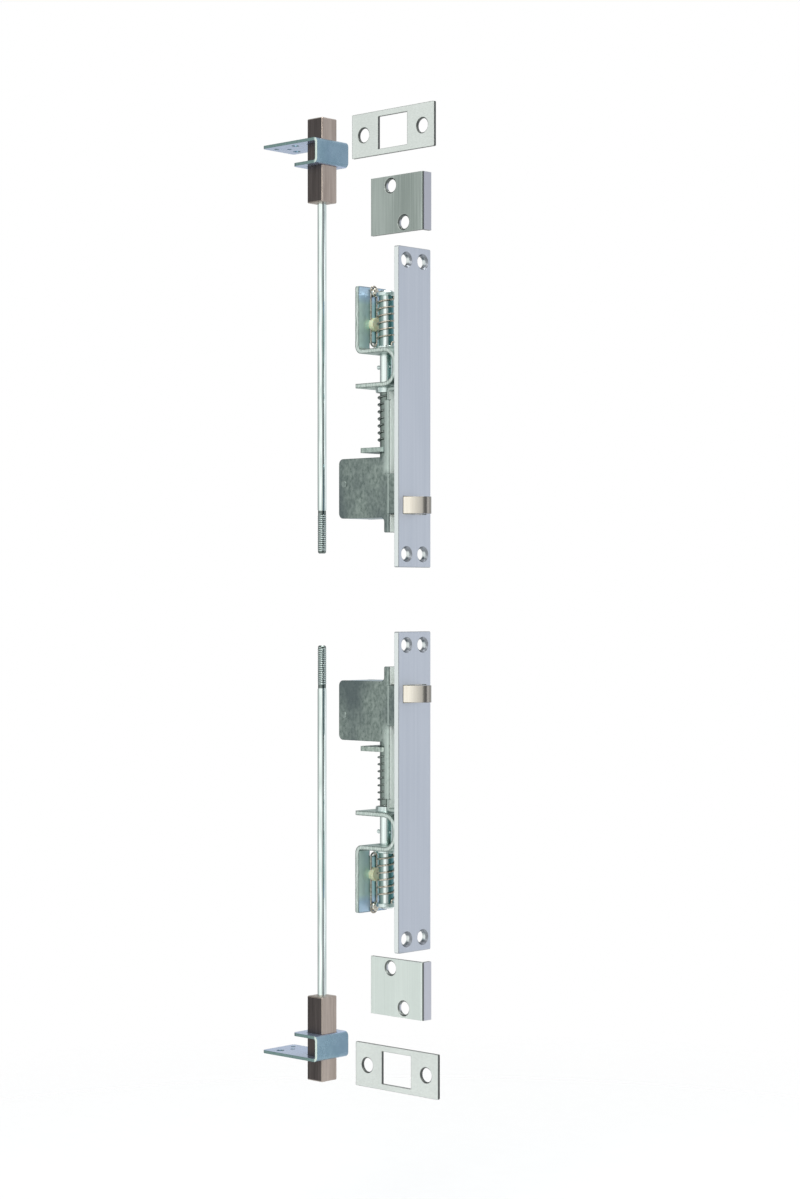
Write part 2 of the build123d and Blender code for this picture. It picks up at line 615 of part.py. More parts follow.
def coil_spring(name, wire_radius, coil_radius, turns, bottom_z, top_z):
    """Wound spring on the shaft's axis, with ends that stand square on their seats."""
    straight = 2 * wire_radius
    quarter_count = round(4 * turns)
    coil_height = top_z - bottom_z - 2 * (straight + SPRING_END_BEND)
    pitch_angle = math.atan2(coil_height, 2 * math.pi * coil_radius * turns)
    for _ in range(SPRING_FIT_STEPS):
        rise = coil_height + 2 * SPRING_END_BEND * (1 - math.cos(pitch_angle))
        pitch_angle = math.atan2(rise, 2 * math.pi * coil_radius * turns)
    low_z = bottom_z + straight + SPRING_END_BEND * math.cos(pitch_angle)

    def helix_point(index):
        angle = index * math.pi / 2
        out = Vector(math.cos(angle), math.sin(angle), 0)
        along = Vector(-math.sin(angle), math.cos(angle), 0)
        point = Vector(SHAFT_X, 0, low_z + rise * index / quarter_count) + out * coil_radius
        tangent = along * math.cos(pitch_angle) + Vector(0, 0, math.sin(pitch_angle))
        return point, tangent, along

    up = Vector(0, 0, 1)
    first, first_tangent, first_along = helix_point(0)
    last, last_tangent, last_along = helix_point(quarter_count)
    bend_shift = SPRING_END_BEND * (1 - math.sin(pitch_angle))
    bend_rise = SPRING_END_BEND * math.cos(pitch_angle)
    bend_start = first - first_along * bend_shift - up * bend_rise
    bend_end = last + last_along * bend_shift + up * bend_rise

    edges = [Edge.make_line(bend_start - up * straight, bend_start)]
    edges.append(Edge.make_tangent_arc(bend_start, up, first))
    for index in range(quarter_count):
        point, tangent, _ = helix_point(index)
        next_point, next_tangent, _ = helix_point(index + 1)
        edges += biarc(point, tangent, next_point, next_tangent)
    edges.append(Edge.make_tangent_arc(last, last_tangent, bend_end))
    edges.append(Edge.make_line(bend_end, bend_end + up * straight))
    path = Wire(edges)
    section = Plane(edges[0] @ 0, z_dir=up) * Circle(wire_radius)
    spring = sweep(section, path=path)
    print(name, "least gap between turns", round(least_gap(edges, wire_radius), 2), "mm")
    return spring


def least_gap(edges, wire_radius):
    """Least clear gap of a wound wire to itself, measured on points along its middle line."""
    points = []
    places = []
    travelled = 0.0
    for edge in edges:
        count = max(2, round(edge.length / SPRING_SAMPLE_STEP))
        for index in range(count):
            points.append(edge @ (index / count))
            places.append(travelled + edge.length * index / count)
        travelled += edge.length
    apart = SPRING_SAME_TURN * 2 * wire_radius
    gap = math.inf
    for i, point in enumerate(points):
        for j in range(i + 1, len(points)):
            if places[j] - places[i] > apart and abs(points[j].Z - point.Z) < apart:
                gap = min(gap, (points[j] - point).length)
    return gap - 2 * wire_radius


def return_spring():
    """Thin spring between the lift plate and the cup."""
    return coil_spring(
        "return_spring", RETURN_WIRE_RADIUS, RETURN_COIL_RADIUS, RETURN_TURNS,
        LIFT_PLATE_TOP_Z, CUP_SEAT_Z,
    )


def override_spring():
    """Large spring round the carrier, between its washer and its ring."""
    return coil_spring(
        "override_spring", OVERRIDE_WIRE_RADIUS, OVERRIDE_COIL_RADIUS, OVERRIDE_TURNS,
        WASHER_TOP_Z, RING_BOTTOM_Z,
    )


def rod_carrier():
    """Sleeve over the shaft's top, bored at its upper end for the bolt rod's thread."""
    sleeve = disc_z(SHAFT_X, 0, CARRIER_RADIUS, WASHER_BOTTOM_Z, CARRIER_TOP_Z)
    sleeve = chamfer(sleeve.edges().filter_by(GeomType.CIRCLE).sort_by(Axis.Z)[-1], SHAFT_END_BREAK)
    sleeve -= disc_z(SHAFT_X, 0, SHAFT_BORE_RADIUS, WASHER_BOTTOM_Z - OVERCUT, SHAFT_TOP_Z + SEAT_GAP)
    socket_z = CARRIER_TOP_Z - CARRIER_SOCKET_DEPTH
    return sleeve - disc_z(SHAFT_X, 0, ROD_RADIUS + RUNNING_CLEARANCE, socket_z, CARRIER_TOP_Z + OVERCUT)


def carrier_collar(outer_radius, z_low, z_high):
    """Ring round the carrier."""
    ring = disc_z(SHAFT_X, 0, outer_radius, z_low, z_high)
    ring = chamfer(ring.edges().filter_by(GeomType.CIRCLE), SHAFT_END_BREAK / 2)
    return ring - disc_z(SHAFT_X, 0, CARRIER_RADIUS + PRESS_CLEARANCE, z_low - OVERCUT, z_high + OVERCUT)


def carrier_washer():
    """Washer between the upper leg and the override spring."""
    return carrier_collar(WASHER_RADIUS, WASHER_BOTTOM_Z, WASHER_TOP_Z)


def retaining_ring():
    """Ring at the carrier's top that the override spring presses on."""
    return carrier_collar(RING_RADIUS, RING_BOTTOM_Z, RING_TOP_Z)


def wire_clip():
    """Long closed loop of wire flat on the rear leg, arched over the leg's top end."""
    x = STRAP_REAR_FACE_X + CLIP_WIRE_RADIUS
    legs = [Vector(x, side * CLIP_HALF_SPREAD, CLIP_LOOP_Z) for side in (-1, 1)]
    tops = [Vector(x, side * CLIP_HALF_SPREAD, CLIP_ARCH_Z) for side in (-1, 1)]
    loop_bottom = Vector(x, 0, CLIP_LOOP_Z - CLIP_HALF_SPREAD)
    arch_top = Vector(x, 0, CLIP_ARCH_Z + CLIP_HALF_SPREAD)
    edges = [
        Edge.make_line(tops[0], legs[0]),
        Edge.make_tangent_arc(legs[0], Vector(0, 0, -1), loop_bottom),
        Edge.make_tangent_arc(loop_bottom, Vector(0, 1, 0), legs[1]),
        Edge.make_line(legs[1], tops[1]),
        Edge.make_tangent_arc(tops[1], Vector(0, 0, 1), arch_top),
        Edge.make_tangent_arc(arch_top, Vector(0, -1, 0), tops[0]),
    ]
    section = Plane(tops[0], z_dir=(0, 0, -1)) * Circle(CLIP_WIRE_RADIUS)
    return sweep(section, path=Wire(edges))


def nylon_pad():
    """Round pad on the rear leg, grooved at its back for the clip's wires."""
    pad = disc_x(0, PAD_Z, PAD_RADIUS, STRAP_REAR_FACE_X, STRAP_REAR_FACE_X + PAD_THICKNESS)
    pad = fillet(pad.faces().sort_by(Axis.X)[-1].edges(), PAD_EDGE_RADIUS)
    groove_half = CLIP_WIRE_RADIUS + PRESS_CLEARANCE
    for side in (-1, 1):
        y = side * CLIP_HALF_SPREAD
        pad -= block(
            (STRAP_REAR_FACE_X - OVERCUT, STRAP_REAR_FACE_X + 2 * groove_half),
            (y - groove_half, y + groove_half),
            (PAD_Z - PAD_RADIUS - OVERCUT, PAD_Z + PAD_RADIUS + OVERCUT),
        )
    return pad


def clip_stud():
    """Round-headed stud through the rear leg, its head over the clip's wires."""
    head_x = STRAP_REAR_FACE_X + 2 * CLIP_WIRE_RADIUS
    head = disc_x(0, STUD_Z, STUD_HEAD_RADIUS, head_x, head_x + STUD_HEAD_HEIGHT)
    head = fillet(head.faces().sort_by(Axis.X)[-1].edges(), STUD_HEAD_ROUND)
    return head + disc_x(0, STUD_Z, STUD_SHANK_RADIUS, STRAP_REAR_X, head_x + STUD_HEAD_HEIGHT / 2)


def bolt_rod():
    """Long round rod, turned down at its threaded end and into the bolt head at the other."""
    shoulder_z = ROD_END_Z + ROD_THREAD_LENGTH
    rod = disc_z(BOLT_AXIS_X, 0, ROD_RADIUS, shoulder_z, BOLT_HEAD_Z + ROD_TENON)
    thread = disc_z(BOLT_AXIS_X, 0, ROD_RADIUS - ROD_THREAD_DEPTH, ROD_END_Z, shoulder_z)
    thread = chamfer(thread.edges().filter_by(GeomType.CIRCLE).sort_by(Axis.Z)[0], SHAFT_END_BREAK)
    return rod + thread


def bolt_head():
    """Square bar that shoots into the strike."""
    half = BOLT_SQUARE / 2
    x_range = (BOLT_AXIS_X - half, BOLT_AXIS_X + half)
    head = block(x_range, (-half, half), (BOLT_HEAD_Z, BOLT_END_Z))
    head = chamfer(head.edges(), BOLT_EDGE_BREAK)
    socket_radius = ROD_RADIUS + PRESS_CLEARANCE
    return head - disc_z(BOLT_AXIS_X, 0, socket_radius, BOLT_HEAD_Z - OVERCUT, BOLT_HEAD_Z + ROD_TENON)


def guide_screw_points():
    """Centres of the guide flange's two screw holes, as (x, y)."""
    middle_x = BOLT_AXIS_X - GUIDE_SCREW_REACH
    return [
        (middle_x - side * GUIDE_SCREW_SPREAD_X / 2, side * GUIDE_SCREW_SPREAD_Y / 2) for side in (-1, 1)
    ]


def bolt_guide():
    """U-shaped bracket whose two flanges guide the square bolt, the upper one long and drilled."""
    half = GUIDE_SHEET / 2
    bottom_z = GUIDE_TOP_Z - GUIDE_HEIGHT
    face_x = BOLT_AXIS_X + GUIDE_FACE_REACH
    long_x = BOLT_AXIS_X - GUIDE_LONG_REACH
    short_x = BOLT_AXIS_X - GUIDE_SHORT_REACH
    middle = [
        (long_x, GUIDE_TOP_Z - half), (face_x - half, GUIDE_TOP_Z - half),
        (face_x - half, bottom_z + half), (short_x, bottom_z + half),
    ]
    bend = GUIDE_BEND + half
    guide = bent_strip(middle, [bend, bend], GUIDE_SHEET, GUIDE_WIDTH)
    rear_edges = guide.edges().filter_by(Axis.Z)
    long_end = [edge for edge in rear_edges if abs(edge.center().X - long_x) < half]
    guide = fillet(long_end, GUIDE_LONG_CORNER)
    rear_edges = guide.edges().filter_by(Axis.Z)
    short_end = [edge for edge in rear_edges if abs(edge.center().X - short_x) < half]
    guide = fillet(short_end, GUIDE_SHORT_CORNER)

    hole_half = BOLT_SQUARE / 2 + SLOT_CLEARANCE
    guide -= block(
        (BOLT_AXIS_X - hole_half, BOLT_AXIS_X + hole_half), (-hole_half, hole_half),
        (bottom_z - OVERCUT, GUIDE_TOP_Z + OVERCUT),
    )
    for x, y in guide_screw_points():
        guide -= sink(
            (0, 0, -1), (x, y, GUIDE_TOP_Z), GUIDE_SCREW_HOLE_RADIUS, GUIDE_SCREW_SINK_RADIUS, GUIDE_SHEET
        )
    pilot_ends = (GUIDE_TOP_Z - GUIDE_SHEET - OVERCUT, GUIDE_TOP_Z + OVERCUT)
    for reach, y in GUIDE_PILOTS:
        guide -= disc_z(BOLT_AXIS_X - reach, y, GUIDE_PILOT_RADIUS, *pilot_ends)
    return guide


def strike_plate(centre_x, centre_z):
    """Flat plate with the bolt's square opening and two countersunk screw holes, facing -Y."""
    half_length = STRIKE_LENGTH / 2
    half_width = STRIKE_WIDTH / 2
    plate = block(
        (centre_x - half_length, centre_x + half_length),
        (STRIKE_FACE_Y, STRIKE_FACE_Y + STRIKE_THICKNESS),
        (centre_z - half_width, centre_z + half_width),
    )
    plate = fillet(plate.edges().filter_by(Axis.Y), STRIKE_CORNER_RADIUS)
    plate -= block(
        (centre_x - STRIKE_OPENING_LENGTH / 2, centre_x + STRIKE_OPENING_LENGTH / 2),
        (STRIKE_FACE_Y - OVERCUT, STRIKE_FACE_Y + STRIKE_THICKNESS + OVERCUT),
        (centre_z - STRIKE_OPENING_WIDTH / 2, centre_z + STRIKE_OPENING_WIDTH / 2),
    )
    for side in (-1, 1):
        front = (centre_x + side * STRIKE_SCREW_PITCH / 2, STRIKE_FACE_Y, centre_z)
        plate -= sink(
            (0, 1, 0), front, STRIKE_SCREW_HOLE_RADIUS, STRIKE_SCREW_SINK_RADIUS, STRIKE_THICKNESS
        )
    return plate


def rub_plate(centre_z):
    """Angle with a big face, a short lip at its front edge and two screw holes on a diagonal."""
    face_back_y = RUB_FACE_Y + RUB_THICKNESS
    lip_end_y = RUB_FACE_Y + RUB_LIP
    rear_x = RUB_FRONT_X - RUB_LENGTH
    outline = FilletPolyline(
        (rear_x, RUB_FACE_Y), (RUB_FRONT_X, RUB_FACE_Y), (RUB_FRONT_X, lip_end_y),
        (RUB_FRONT_X - RUB_THICKNESS, lip_end_y), (RUB_FRONT_X - RUB_THICKNESS, face_back_y),
        (rear_x, face_back_y),
        radius=[0, RUB_BEND + RUB_THICKNESS / 2, 0, 0, RUB_BEND, 0],
        close=True,
    )
    plate = Pos(0, 0, centre_z - RUB_HEIGHT / 2) * extrude(make_face(outline), amount=RUB_HEIGHT)
    for side in (-1, 1):
        x = RUB_FRONT_X - RUB_SCREW_BACK - side * RUB_SCREW_SPREAD_X / 2
        z = centre_z + side * RUB_SCREW_SPREAD_Z / 2
        plate -= sink((0, 1, 0), (x, RUB_FACE_Y, z), RUB_HOLE_RADIUS, RUB_SINK_RADIUS, RUB_THICKNESS)
    return plate


def turned(shape):
    """The bottom set's copy of a top piece: half a turn round the kit's middle line along X."""
    return Pos(0, 0, 2 * MID_PLANE_Z) * Rot(180, 0, 0) * shape


PAIRED_PIECES = [
    face_plate, trigger, lever, lever_follower, lever_pin, case_body, case_cover, guide_strap,
    lift_shaft, cross_pin, lift_plate, spring_cup, return_spring, override_spring, rod_carrier,
    carrier_washer, retaining_ring, wire_clip, nylon_pad, clip_stud, bolt_rod, bolt_head, bolt_guide,
]

pieces = {}
for make_piece in PAIRED_PIECES:
    piece = make_piece()
    pieces["top_" + make_piece.__name__] = piece
    pieces["bottom_" + make_piece.__name__] = turned(piece)
pieces["top_strike_plate"] = strike_plate(STRIKE_TOP_X, STRIKE_TOP_Z)
pieces["bottom_strike_plate"] = strike_plate(STRIKE_BOTTOM_X, STRIKE_BOTTOM_Z)
pieces["top_rub_plate"] = rub_plate(RUB_TOP_Z)
pieces["bottom_rub_plate"] = rub_plate(RUB_BOTTOM_Z)

os.makedirs("parts", exist_ok=True)
for name, piece in pieces.items():
    export_step(piece, f"parts/{name}.step")
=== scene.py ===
import math

import bmesh
import bpy
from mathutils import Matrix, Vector


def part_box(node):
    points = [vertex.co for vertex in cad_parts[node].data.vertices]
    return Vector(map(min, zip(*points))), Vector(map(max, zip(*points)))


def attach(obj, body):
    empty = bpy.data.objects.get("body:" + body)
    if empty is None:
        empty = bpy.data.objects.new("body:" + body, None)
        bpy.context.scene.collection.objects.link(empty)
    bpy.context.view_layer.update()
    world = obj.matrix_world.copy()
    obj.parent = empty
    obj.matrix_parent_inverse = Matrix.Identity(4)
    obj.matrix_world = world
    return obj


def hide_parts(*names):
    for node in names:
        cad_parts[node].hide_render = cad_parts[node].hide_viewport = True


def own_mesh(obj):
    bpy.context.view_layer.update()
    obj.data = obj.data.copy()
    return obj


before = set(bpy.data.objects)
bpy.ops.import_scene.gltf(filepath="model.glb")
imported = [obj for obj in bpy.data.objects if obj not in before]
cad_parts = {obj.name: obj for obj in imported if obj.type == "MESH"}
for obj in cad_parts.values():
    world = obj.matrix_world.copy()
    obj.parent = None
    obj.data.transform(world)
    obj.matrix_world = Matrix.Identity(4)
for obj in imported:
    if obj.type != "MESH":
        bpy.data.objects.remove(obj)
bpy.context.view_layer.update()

# The frame is in metres and millimetres are easier to read for small parts.
MM = 0.001

MIDDLE_Z = -0.1029
CAMERA_PLACE = (0.9081, -0.9849, MIDDLE_Z)
CAMERA_TARGET = (-0.0058, -0.0054, MIDDLE_Z)
IMAGE_HEIGHT_PX = 1199
FOCAL_PX = 2500
SENSOR_HEIGHT_MM = 24

# Thread: a ridge wound round the turned-down end of both bolt rods
THREAD_PITCH = 1.06 * MM
THREAD_TOP_RADIUS = 2.5 * MM
THREAD_TOP_WIDTH = 0.16 * MM
THREAD_ROOT_WIDTH = 0.84 * THREAD_PITCH
THREAD_ROOT_SINK = 0.05 * MM
TURNED_DOWN_RADIUS = 2.25 * MM
TURNED_DOWN_LENGTH = 24.0 * MM
THREAD_START = 0.9 * MM
THREAD_STEPS = 28
THREAD_LEAST_HEIGHT = 0.08

# Where a finish or a painted light or shade changes along a part: along X and Y, or by the distance
# from the middle plane
PLATE_BACK_X = (-2.6 * MM, -3.0 * MM)
# Painted shade on the trigger's rounded tip
NOSE_SHADE_X = (2.5 * MM, 9.0 * MM)
FLANGE_X = (-14.0 * MM, -11.5 * MM)
FLANGE_AWAY = (66.0 * MM, 70.0 * MM)
# Painted highlight along the case's bend
BEND_HIGHLIGHT_X = -9.3 * MM
BEND_HIGHLIGHT_WIDTH = (0.6 * MM, 0.3 * MM)
GUIDE_FRONT_X = (-64.4 * MM, -63.2 * MM)
STRAP_LEG_Y = (-10.5 * MM, 1.0 * MM)
STRAP_LEG_END_AWAY = (159.9 * MM, 163.9 * MM)
# Painted shade between the ridges of the thread
THREAD_SHADE_AWAY = (49.4 * MM, 49.0 * MM)
# Painted shade on the shaft inside its spring
SHAFT_SHADE_IN_SPRING_AWAY = (113.0 * MM, 111.5 * MM)

# Noise stays near a half, so two tones are mixed over this part of its values.
TWO_TONES = (0.36, 0.64)
# Cosines of the angle between the true and the rounded normal where the edge colour, of rubbing and
# painted edge shading, starts and is full
EDGE_COSINES = (0.998, 0.95)
# Waves per metre along X, Y and Z
DRAWN_UPRIGHT = (1500, 1500, 45)
PLATED_UPRIGHT = (2600, 2600, 160)
PLATED_LEVEL = (240, 2600, 2200)
WIRE_GRAIN = (900, 900, 900)
# The Mix node gives its colour sockets the names of its others, so they are known by number.
MIX_FIRST, MIX_SECOND, MIX_RESULT = 6, 7, 2

# Light of the studio by compass bearing in degrees, from +X towards +Y
STUDIO = [
    (-180, (0.20, 0.22, 0.22)),
    (-151, (0.24, 0.26, 0.26)),
    (-142, (0.88, 0.91, 0.90)),
    (-122, (0.95, 0.97, 0.96)),
    (-104, (1.20, 1.22, 1.21)),
    (-58, (1.30, 1.31, 1.29)),
    (-44, (0.50, 0.52, 0.52)),
    (-26, (0.16, 0.17, 0.18)),
    (0, (0.12, 0.13, 0.15)),
    (14, (0.50, 0.52, 0.56)),
    (40, (0.74, 0.76, 0.80)),
    (83, (0.74, 0.76, 0.79)),
    (126, (0.80, 0.82, 0.82)),
    (140, (0.50, 0.52, 0.52)),
    (180, (0.20, 0.22, 0.22)),
]
BACKDROP_IN_GLOSS = 0.15

# Soft square lamps: name, place, side, power in watts, colour
LAMPS = [
    ("key", (0.75, -1.3, 1.0), 0.9, 10, (1.0, 0.99, 0.97)),
    ("fill", (1.5, 0.6, -0.1), 0.9, 1.5, (0.97, 0.98, 1.0)),
    ("top", (0.0, 0.2, 1.5), 0.8, 14, (1.0, 1.0, 1.0)),
]

FLOOR_Z = -0.46
FLOOR_RADIUS = 1.6
FLOOR_SIDES = 96
FLOOR_FADE = (0.3, 0.85)


def srgb(red, green, blue):
    """Linear colour of an sRGB one given in 0..255."""
    channels = []
    for value in (red, green, blue):
        share = value / 255
        channels.append(share / 12.92 if share <= 0.04045 else ((share + 0.055) / 1.055) ** 2.4)
    return (*channels, 1.0)


def add_node(tree, kind, inputs=None, **settings):
    """New node with its settings and its inputs, which are values or other nodes' outputs."""
    node = tree.nodes.new(kind)
    for key, value in settings.items():
        setattr(node, key, value)
    for socket, value in (inputs or {}).items():
        if isinstance(value, bpy.types.NodeSocket):
            tree.links.new(value, node.inputs[socket])
        else:
            node.inputs[socket].default_value = value
    return node


class Finish:
    """A material under construction, with short calls for the nodes that the finishes share."""

    def __init__(self, name, metallic=1.0):
        self.material = bpy.data.materials.new(name)
        self.material.use_nodes = True
        self.tree = self.material.node_tree
        self.shader = self.tree.nodes["Principled BSDF"]
        self.shader.inputs["Metallic"].default_value = metallic
        self.place = self.add("ShaderNodeTexCoord").outputs["Object"]
        self.colour = None

    def add(self, kind, inputs=None, **settings):
        """New node of this material."""
        return add_node(self.tree, kind, inputs, **settings)

    def noise(self, waves, detail, roughness=0.5):
        """Noise with a count of waves per metre along X, Y and Z."""
        spot = self.add("ShaderNodeMapping", {"Vector": self.place, "Scale": waves}).outputs[0]
        inputs = {"Vector": spot, "Scale": 1.0, "Detail": detail, "Roughness": roughness}
        return self.add("ShaderNodeTexNoise", inputs).outputs["Fac"]

    def spread(self, value, low, high, to_low=0.0, to_high=1.0):
        """Value mapped from one range to another and kept inside it."""
        inputs = {
            "Value": value, "From Min": low, "From Max": high, "To Min": to_low, "To Max": to_high
        }
        return self.add("ShaderNodeMapRange", inputs).outputs["Result"]

    def math(self, operation, first, second=0.0):
        """Arithmetic on two numbers."""
        return self.add("ShaderNodeMath", {0: first, 1: second}, operation=operation).outputs[0]

    def times(self, first, second):
        """Product of two numbers."""
        return self.math("MULTIPLY", first, second)

    def plus(self, first, second):
        """Sum of two numbers."""
        return self.math("ADD", first, second)

    def mix(self, share, first, second):
        """Two colours mixed by a share."""
        inputs = {"Factor": share, MIX_FIRST: first, MIX_SECOND: second}
        return self.add("ShaderNodeMix", inputs, data_type="RGBA").outputs[MIX_RESULT]

    def cover(self, share, colour):
        """Lays a colour over the one that the material has so far."""
        self.colour = self.mix(share, self.colour, colour)

    def normal(self):
        """Normal of the surface."""
        return self.add("ShaderNodeNewGeometry").outputs["Normal"]

    def part(self, vector, axis):
        """One of a vector's three numbers."""
        return self.add("ShaderNodeSeparateXYZ", {"Vector": vector}).outputs[axis]

    def edge(self, radius):
        """1 on edges up to a radius wide and 0 on flat faces, with the normal rounded over them."""
        rounded = self.add("ShaderNodeBevel", {"Radius": radius}, samples=6).outputs["Normal"]
        both = {0: rounded, 1: self.normal()}
        cosine = self.add("ShaderNodeVectorMath", both, operation="DOT_PRODUCT").outputs["Value"]
        return self.spread(cosine, *EDGE_COSINES), rounded

    def facing(self, axis, low=0.80, high=0.95):
        """1 on faces square to an axis, both ways, and 0 on the others."""
        return self.spread(self.math("ABSOLUTE", self.part(self.normal(), axis)), low, high)

    def along(self, axis, low, high):
        """0 to 1 from one place to another along an axis of the frame."""
        return self.spread(self.part(self.place, axis), low, high)

    def apart(self, axis, middle, low, high):
        """0 to 1 from one distance to another on both sides of a place along an axis."""
        offset = self.math("SUBTRACT", self.part(self.place, axis), middle)
        return self.spread(self.math("ABSOLUTE", offset), low, high)

    def away(self, low, high):
        return self.apart("Z", MIDDLE_Z, low, high)

    def finish(self, roughness, height=None, depth=0.0, normal=None):
        """Links the colour, the roughness and the bump to the shader, and gives the material."""
        for socket, value in (("Base Color", self.colour), ("Roughness", roughness)):
            self.tree.links.new(value, self.shader.inputs[socket])
        if height is not None:
            inputs = {"Height": height, "Strength": 1.0, "Distance": depth}
            if normal is not None:
                inputs["Normal"] = normal
            bumped = self.add("ShaderNodeBump", inputs).outputs["Normal"]
            self.tree.links.new(bumped, self.shader.inputs["Normal"])
        return self.material


def brushed(
    name, dark, light, lines, grain, edge_wear_and_shading, depth, faces="X", cut_and_shade=None, side=None, back=None,
    nose_shade=None, edge_radius=0.25 * MM,
):
    """Brushed metal: fine lines in colour, gloss and height, a slow drift and edges coloured by
    rubbing and by painted edge shading.

    Lines are waves per metre and grain is the range of roughness. The broad faces are square to
    the axis of faces, and cut is the colour of all the others: sheared faces, darkened with painted
    shade in holes and along borders. The side is an axis and a painted light tone for the faces
    square to it. The back is a range of X and the colour of the faces behind it. The nose is a
    range of X and the painted shade towards its end.
    """
    kit = Finish(name)
    fine = kit.noise(lines, detail=4.0, roughness=0.65)
    slow = kit.noise((45, 45, 12), detail=2.0)
    tone = kit.plus(kit.times(fine, 0.65), kit.times(slow, 0.35))
    kit.colour = kit.mix(kit.spread(tone, *TWO_TONES), dark, light)
    # Faces off the broad ones: sheared faces, darkened with painted shade on hole walls,
    # countersinks and borders.
    if cut_and_shade is not None:
        edges = kit.mix(kit.times(fine, 0.15), cut_and_shade, light)
        kit.colour = kit.mix(kit.facing(faces), edges, kit.colour)
    # Painted light: faces square to this axis take a tone of their own for how the light falls on
    # them, pale on the face plate's sides and lavender on the rub plates' lips.
    if side is not None:
        axis, painted_side_light = side
        kit.cover(kit.facing(axis), kit.mix(kit.times(fine, 0.3), painted_side_light, light))
    if back is not None:
        reach, back_colour = back
        kit.cover(kit.times(kit.along("X", *reach), kit.facing("X")), back_colour)
    # Painted shade darkens the trigger's rounded tip towards its end.
    if nose_shade is not None:
        reach, painted_nose_shade = nose_shade
        kit.cover(kit.along("X", *reach), painted_nose_shade)
    # Edge colour is rubbing and painted edge shading: painted shade lines where it is dark, painted
    # highlights on the arrises where it is pale.
    edge_wear_and_shading_mask, rounded = kit.edge(edge_radius)
    kit.cover(kit.times(edge_wear_and_shading_mask, 0.55), edge_wear_and_shading)
    gloss = kit.spread(kit.plus(fine, kit.times(slow, 0.3)), 0.45, 0.85, *grain)
    return kit.finish(gloss, fine, depth, rounded)


class Plating(Finish):
    """Zinc plating: cloudy patches, a passivated tint that drifts and drawing marks."""

    def __init__(
        self, name, dark, light, tint, patch=230, metallic=0.8, drawn=PLATED_UPRIGHT, tinted=0.5
    ):
        super().__init__(name, metallic)
        self.cloud = self.noise((patch, patch, patch * 0.7), detail=5.0, roughness=0.62)
        self.marks = self.noise(drawn, detail=3.0, roughness=0.7)
        drift = self.noise((40, 40, 26), detail=2.0)
        self.colour = self.mix(self.spread(self.cloud, 0.36, 0.66), dark, light)
        self.cover(self.spread(drift, 0.42, 0.66, 0.0, tinted), tint)
        self.cover(self.spread(self.marks, 0.60, 0.78, 0.0, 0.25), light)

    def plated(self, edge_wear_and_shading, grain, edge_radius=0.3 * MM, depth=0.006 * MM):
        """Adds the rubbed edges with their painted edge shading, the gloss and the bump, and gives
        the material.
        """
        # Edge colour is rubbing and painted edge shading: painted shade lines where it is dark,
        # painted highlights on the arrises where it is pale.
        edge_wear_and_shading_mask, rounded = self.edge(edge_radius)
        self.cover(self.times(edge_wear_and_shading_mask, 0.7), edge_wear_and_shading)
        height = self.plus(self.times(self.marks, 0.5), self.cloud)
        return self.finish(self.spread(self.cloud, 0.35, 0.70, *grain), height, depth, rounded)


def mottled(name, dark, light, tint, edge_wear_and_shading, patch=230):
    """Zinc plated sheet."""
    return Plating(name, dark, light, tint, patch).plated(edge_wear_and_shading, (0.30, 0.46))


def case_sheet(name):
    """Zinc plated stamping: a pale flange beyond the box, a painted highlight along the bend line
    and painted light that makes the web white.
    """
    kit = Plating(
        name, srgb(104, 117, 112), srgb(150, 162, 156), srgb(80, 91, 94), patch=560,
        drawn=PLATED_LEVEL, tinted=0.8,
    )
    flange = kit.times(kit.times(kit.along("X", *FLANGE_X), kit.away(*FLANGE_AWAY)), 0.5)
    # Painted highlight along the bend, in the flange's pale colour.
    line = kit.times(kit.apart("X", BEND_HIGHLIGHT_X, *BEND_HIGHLIGHT_WIDTH), kit.facing("Y"))
    kit.cover(kit.math("MAXIMUM", flange, kit.times(line, 0.5)), srgb(206, 220, 213))
    # Painted light: the web in the shaded gap behind the face plate is coloured almost white.
    web = kit.facing("X")
    kit.cover(web, srgb(244, 250, 247))
    metallic = kit.spread(web, 0.0, 1.0, 0.8, 0.0)
    kit.tree.links.new(metallic, kit.shader.inputs["Metallic"])
    return kit.plated(srgb(74, 90, 88), (0.26, 0.42), edge_radius=0.5 * MM, depth=0.001 * MM)


def guide_strip(name):
    """Blue passivated strip: painted light making the faces square to Z lavender, dark sheared
    edges, a pale one at its front.
    """
    kit = Plating(
        name, srgb(122, 152, 168), srgb(148, 176, 191), srgb(132, 156, 178), patch=70,
        metallic=0.85,
    )
    # Painted light: the faces square to Z take a lavender tone for how the light falls on them.
    kit.cover(kit.times(kit.facing("Z"), 0.85), srgb(190, 206, 238))
    sheared = kit.mix(kit.marks, srgb(76, 98, 98), srgb(146, 174, 170))
    sheared = kit.mix(kit.along("X", *GUIDE_FRONT_X), sheared, srgb(222, 236, 228))
    kit.cover(kit.facing("Y"), sheared)
    return kit.plated(srgb(108, 138, 146), (0.22, 0.34), edge_radius=0.4 * MM, depth=0.002 * MM)


def passivated_strap(name):
    """Thick zinc plated strip: mint to teal across its upright leg, blue at the leg's end."""
    kit = Plating(
        name, srgb(128, 150, 142), srgb(186, 206, 198), srgb(120, 152, 158), patch=260,
        metallic=0.75,
    )
    across = kit.mix(kit.along("Y", *STRAP_LEG_Y), srgb(228, 250, 244), srgb(150, 194, 198))
    sheared = kit.mix(kit.spread(kit.marks, 0.38, 0.62), srgb(138, 158, 148), srgb(242, 250, 246))
    kit.cover(kit.times(kit.facing("X"), 0.93), across)
    kit.cover(kit.times(kit.facing("Y"), 0.9), sheared)
    end = kit.times(kit.away(*STRAP_LEG_END_AWAY), kit.facing("X"))
    kit.cover(kit.times(end, 0.8), srgb(188, 214, 242))
    return kit.plated(srgb(60, 78, 72), (0.34, 0.46), edge_radius=1.2 * MM, depth=0.002 * MM)


